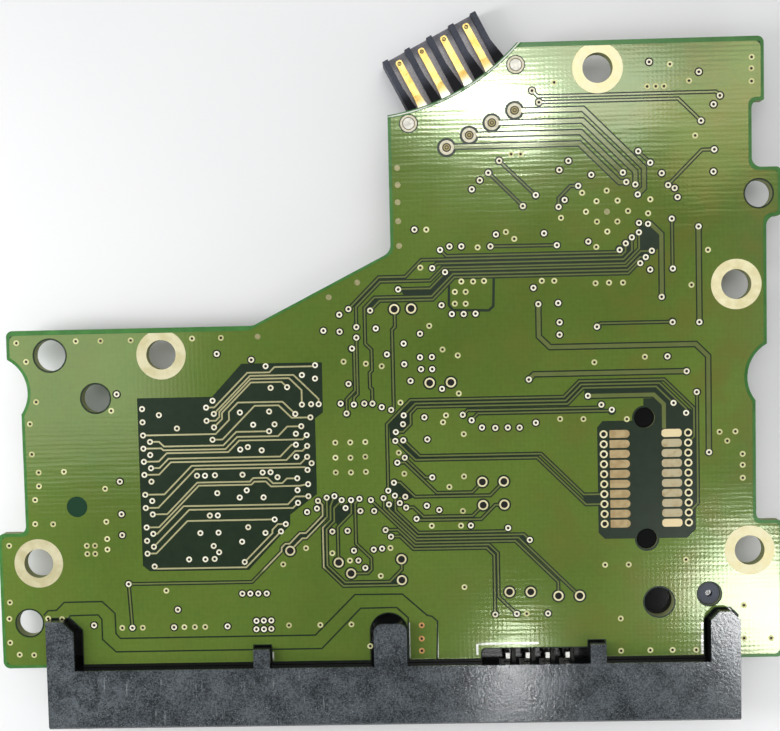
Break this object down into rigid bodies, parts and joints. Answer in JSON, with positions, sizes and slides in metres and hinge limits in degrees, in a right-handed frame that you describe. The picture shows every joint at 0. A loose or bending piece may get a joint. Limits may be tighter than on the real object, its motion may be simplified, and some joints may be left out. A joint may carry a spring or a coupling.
{
  "type": "hard drive circuit board",
  "caption": "Green controller board of a disk drive, plain face up, with an edge data and power connector, a spring motor connector, plated screw holes and chips on its underside.",
  "frame": {"origin": "under the middle of the part's outer box, at the level the housings rest on", "axes": "+Z out of the board's plain face, -Y towards the edge connector's mouth, +X to the right as seen in the picture"},
  "size_m": [0.1, 0.0902, 0.0063],
  "materials": {
    "mask": "dark green lacquer over laminate",
    "mask_copper": "green lacquer over copper",
    "mask_trace": "green-brown lacquer over thin conductors",
    "plating": "pale gold plating",
    "solder": "bright solder",
    "gold": "gold-plated spring metal",
    "tin": "tinned metal",
    "housing": "black moulded, finely grained",
    "epoxy": "black moulded epoxy",
    "tantalum": "ochre moulded epoxy",
    "ferrite": "dark grey ferrite",
    "ceramic": "tan fired ceramic",
    "film": "black glazed film",
    "white_ceramic": "off-white ceramic",
    "can": "plain metal lid"
  },
  "bodies": {
    "root": {"board": "mask", "copper_pour": "mask_copper", "traces": "mask_trace", "screw_pads_outer": "plating", "screw_pads_inner": "plating", "test_rings": "plating", "head_rings": "plating", "head_pads": "plating", "interface_housing": "housing", "power_contacts": "gold", "signal_contacts": "gold", "jumper_pins": "tin", "motor_housing": "housing", "motor_contacts": "gold", "motor_pegs": "tin", "motor_solder": "solder", "head_housing": "housing", "head_contacts": "gold", "controller_body": "epoxy", "controller_leads": "tin", "memory_body": "epoxy", "memory_leads": "tin", "driver_body": "epoxy", "driver_leads": "tin", "flash_body": "epoxy", "flash_leads": "tin", "regulator_body": "epoxy", "regulator_leads": "tin", "transistor_bodies": "epoxy", "transistor_leads": "tin", "ceramic_bodies": "ceramic", "ceramic_ends": "tin", "resistor_bodies": "film", "resistor_ends": "tin", "tantalum_bodies": "tantalum", "tantalum_ends": "tin", "diode_bodies": "epoxy", "diode_ends": "tin", "inductor_bodies": "ferrite", "inductor_ends": "tin", "shock_sensors": "white_ceramic", "shock_ends": "tin", "crystal_base": "white_ceramic", "crystal_lid": "can"}
  },
  "joints": []
}
